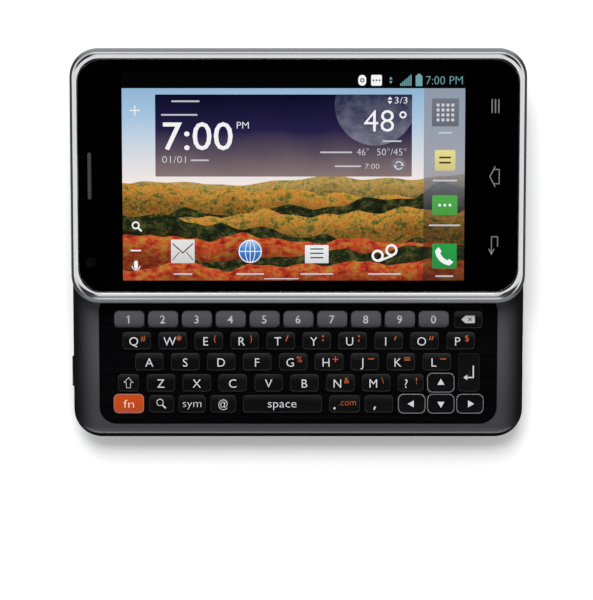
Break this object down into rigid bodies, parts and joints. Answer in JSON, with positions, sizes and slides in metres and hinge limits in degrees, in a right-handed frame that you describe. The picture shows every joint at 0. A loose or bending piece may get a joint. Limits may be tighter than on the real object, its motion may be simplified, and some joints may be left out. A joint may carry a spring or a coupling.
{
  "type": "slider phone",
  "caption": "Pocket phone whose touch screen half slides along T rails off a full letter keyboard, with sprung keys.",
  "frame": {"origin": "centre of the keyboard half's flat back, on the surface that the phone lies on", "axes": "+X along the long side towards the USB socket, +Y the way the display half opens, +Z out of the screen"},
  "size_m": [0.117, 0.0996, 0.0122],
  "materials": {
    "battery_wrap": "satin",
    "black_key": "gloss",
    "black_plastic": "matt",
    "bright_bezel": "polished",
    "circuit_board": "satin",
    "cover_glass": "polished",
    "cover_plastic": "soft touch",
    "deck_plastic": "brushed gloss",
    "display": "polished",
    "flex_film": "satin",
    "grey_key": "satin",
    "orange_key": "satin",
    "rim_plastic": "satin",
    "satin_housing": "satin",
    "side_key_plastic": "satin",
    "silicone": "matt",
    "spring_steel": "bright",
    "steel": "brushed",
    "window_glass": "polished"
  },
  "bodies": {
    "keyboard_half": {"rear_frame": "rim_plastic", "battery_cover": "cover_plastic", "deck_panel": "deck_plastic", "keypad_mat": "silicone", "key_board": "circuit_board", "battery": "battery_wrap", "main_board": "circuit_board", "rear_camera": "black_plastic", "camera_window": "window_glass", "loudspeaker": "black_plastic", "usb_port": "steel", "headset_jack": "black_plastic", "chassis_screws": "steel", "slide_base": "steel"},
    "display_half": {"front_glass": "cover_glass", "chrome_bezel": "bright_bezel", "display_housing": "satin_housing", "display_panel": "display", "slide_carriage": "steel", "earpiece": "black_plastic", "front_camera": "black_plastic", "display_screws": "steel", "slide_springs": "spring_steel", "display_flex": "flex_film"},
    "power_key": {"power_key": "side_key_plastic"},
    "volume_key": {"volume_key": "side_key_plastic"},
    "camera_key": {"camera_key": "side_key_plastic"},
    "key_fn": {"key_fn": "orange_key"},
    "number_keys": {"number_keys": "grey_key"},
    "arrow_keys": {"arrow_keys": "black_key"},
    "edit_keys": {"edit_keys": "black_key"},
    "symbol_keys": {"symbol_keys": "black_key"},
    "key_space": {"key_space": "black_key"},
    "key_shift": {"key_shift": "black_key"},
    "key_a": {"key_a": "black_key"},
    "key_b": {"key_b": "black_key"},
    "key_c": {"key_c": "black_key"},
    "key_d": {"key_d": "black_key"},
    "key_e": {"key_e": "black_key"},
    "key_f": {"key_f": "black_key"},
    "key_g": {"key_g": "black_key"},
    "key_h": {"key_h": "black_key"},
    "key_i": {"key_i": "black_key"},
    "key_j": {"key_j": "black_key"},
    "key_k": {"key_k": "black_key"},
    "key_l": {"key_l": "black_key"},
    "key_m": {"key_m": "black_key"},
    "key_n": {"key_n": "black_key"},
    "key_o": {"key_o": "black_key"},
    "key_p": {"key_p": "black_key"},
    "key_q": {"key_q": "black_key"},
    "key_r": {"key_r": "black_key"},
    "key_s": {"key_s": "black_key"},
    "key_t": {"key_t": "black_key"},
    "key_u": {"key_u": "black_key"},
    "key_v": {"key_v": "black_key"},
    "key_w": {"key_w": "black_key"},
    "key_x": {"key_x": "black_key"},
    "key_y": {"key_y": "black_key"},
    "key_z": {"key_z": "black_key"}
  },
  "joints": [
    {"name": "display_slide", "type": "slide", "parent": "keyboard_half", "child": "display_half", "axis": [0, -1, 0], "range_m": [0, 0.0347], "deforming": ["slide_springs", "display_flex"]},
    {"name": "camera_key_press", "type": "slide", "parent": "keyboard_half", "child": "camera_key", "axis": [0, -1, 0], "range_m": [0, 0.00025], "stiffness_N_per_m": 400},
    {"name": "power_key_press", "type": "slide", "parent": "keyboard_half", "child": "power_key", "axis": [1, 0, 0], "range_m": [0, 0.00025], "stiffness_N_per_m": 400},
    {"name": "volume_key_rock", "type": "hinge", "parent": "keyboard_half", "child": "volume_key", "pos_m": [-0.022, 0.03065, 0.0047], "axis": [0, 0, 1], "range_deg": [-1.2, 1.2], "stiffness_Nm_per_rad": 0.05},
    {"name": "key_fn_press", "type": "slide", "parent": "keyboard_half", "child": "key_fn", "axis": [0, 0, -1], "range_m": [0, 0.00025], "stiffness_N_per_m": 400},
    {"name": "number_keys_press", "type": "slide", "parent": "keyboard_half", "child": "number_keys", "axis": [0, 0, -1], "range_m": [0, 0.00025], "stiffness_N_per_m": 400},
    {"name": "arrow_keys_press", "type": "slide", "parent": "keyboard_half", "child": "arrow_keys", "axis": [0, 0, -1], "range_m": [0, 0.00025], "stiffness_N_per_m": 400},
    {"name": "edit_keys_press", "type": "slide", "parent": "keyboard_half", "child": "edit_keys", "axis": [0, 0, -1], "range_m": [0, 0.00025], "stiffness_N_per_m": 400},
    {"name": "symbol_keys_press", "type": "slide", "parent": "keyboard_half", "child": "symbol_keys", "axis": [0, 0, -1], "range_m": [0, 0.00025], "stiffness_N_per_m": 400},
    {"name": "key_space_press", "type": "slide", "parent": "keyboard_half", "child": "key_space", "axis": [0, 0, -1], "range_m": [0, 0.00025], "stiffness_N_per_m": 400},
    {"name": "key_shift_press", "type": "slide", "parent": "keyboard_half", "child": "key_shift", "axis": [0, 0, -1], "range_m": [0, 0.00025], "stiffness_N_per_m": 400},
    {"name": "key_a_press", "type": "slide", "parent": "keyboard_half", "child": "key_a", "axis": [0, 0, -1], "range_m": [0, 0.00025], "stiffness_N_per_m": 400},
    {"name": "key_b_press", "type": "slide", "parent": "keyboard_half", "child": "key_b", "axis": [0, 0, -1], "range_m": [0, 0.00025], "stiffness_N_per_m": 400},
    {"name": "key_c_press", "type": "slide", "parent": "keyboard_half", "child": "key_c", "axis": [0, 0, -1], "range_m": [0, 0.00025], "stiffness_N_per_m": 400},
    {"name": "key_d_press", "type": "slide", "parent": "keyboard_half", "child": "key_d", "axis": [0, 0, -1], "range_m": [0, 0.00025], "stiffness_N_per_m": 400},
    {"name": "key_e_press", "type": "slide", "parent": "keyboard_half", "child": "key_e", "axis": [0, 0, -1], "range_m": [0, 0.00025], "stiffness_N_per_m": 400},
    {"name": "key_f_press", "type": "slide", "parent": "keyboard_half", "child": "key_f", "axis": [0, 0, -1], "range_m": [0, 0.00025], "stiffness_N_per_m": 400},
    {"name": "key_g_press", "type": "slide", "parent": "keyboard_half", "child": "key_g", "axis": [0, 0, -1], "range_m": [0, 0.00025], "stiffness_N_per_m": 400},
    {"name": "key_h_press", "type": "slide", "parent": "keyboard_half", "child": "key_h", "axis": [0, 0, -1], "range_m": [0, 0.00025], "stiffness_N_per_m": 400},
    {"name": "key_i_press", "type": "slide", "parent": "keyboard_half", "child": "key_i", "axis": [0, 0, -1], "range_m": [0, 0.00025], "stiffness_N_per_m": 400},
    {"name": "key_j_press", "type": "slide", "parent": "keyboard_half", "child": "key_j", "axis": [0, 0, -1], "range_m": [0, 0.00025], "stiffness_N_per_m": 400},
    {"name": "key_k_press", "type": "slide", "parent": "keyboard_half", "child": "key_k", "axis": [0, 0, -1], "range_m": [0, 0.00025], "stiffness_N_per_m": 400},
    {"name": "key_l_press", "type": "slide", "parent": "keyboard_half", "child": "key_l", "axis": [0, 0, -1], "range_m": [0, 0.00025], "stiffness_N_per_m": 400},
    {"name": "key_m_press", "type": "slide", "parent": "keyboard_half", "child": "key_m", "axis": [0, 0, -1], "range_m": [0, 0.00025], "stiffness_N_per_m": 400},
    {"name": "key_n_press", "type": "slide", "parent": "keyboard_half", "child": "key_n", "axis": [0, 0, -1], "range_m": [0, 0.00025], "stiffness_N_per_m": 400},
    {"name": "key_o_press", "type": "slide", "parent": "keyboard_half", "child": "key_o", "axis": [0, 0, -1], "range_m": [0, 0.00025], "stiffness_N_per_m": 400},
    {"name": "key_p_press", "type": "slide", "parent": "keyboard_half", "child": "key_p", "axis": [0, 0, -1], "range_m": [0, 0.00025], "stiffness_N_per_m": 400},
    {"name": "key_q_press", "type": "slide", "parent": "keyboard_half", "child": "key_q", "axis": [0, 0, -1], "range_m": [0, 0.00025], "stiffness_N_per_m": 400},
    {"name": "key_r_press", "type": "slide", "parent": "keyboard_half", "child": "key_r", "axis": [0, 0, -1], "range_m": [0, 0.00025], "stiffness_N_per_m": 400},
    {"name": "key_s_press", "type": "slide", "parent": "keyboard_half", "child": "key_s", "axis": [0, 0, -1], "range_m": [0, 0.00025], "stiffness_N_per_m": 400},
    {"name": "key_t_press", "type": "slide", "parent": "keyboard_half", "child": "key_t", "axis": [0, 0, -1], "range_m": [0, 0.00025], "stiffness_N_per_m": 400},
    {"name": "key_u_press", "type": "slide", "parent": "keyboard_half", "child": "key_u", "axis": [0, 0, -1], "range_m": [0, 0.00025], "stiffness_N_per_m": 400},
    {"name": "key_v_press", "type": "slide", "parent": "keyboard_half", "child": "key_v", "axis": [0, 0, -1], "range_m": [0, 0.00025], "stiffness_N_per_m": 400},
    {"name": "key_w_press", "type": "slide", "parent": "keyboard_half", "child": "key_w", "axis": [0, 0, -1], "range_m": [0, 0.00025], "stiffness_N_per_m": 400},
    {"name": "key_x_press", "type": "slide", "parent": "keyboard_half", "child": "key_x", "axis": [0, 0, -1], "range_m": [0, 0.00025], "stiffness_N_per_m": 400},
    {"name": "key_y_press", "type": "slide", "parent": "keyboard_half", "child": "key_y", "axis": [0, 0, -1], "range_m": [0, 0.00025], "stiffness_N_per_m": 400},
    {"name": "key_z_press", "type": "slide", "parent": "keyboard_half", "child": "key_z", "axis": [0, 0, -1], "range_m": [0, 0.00025], "stiffness_N_per_m": 400}
  ]
}
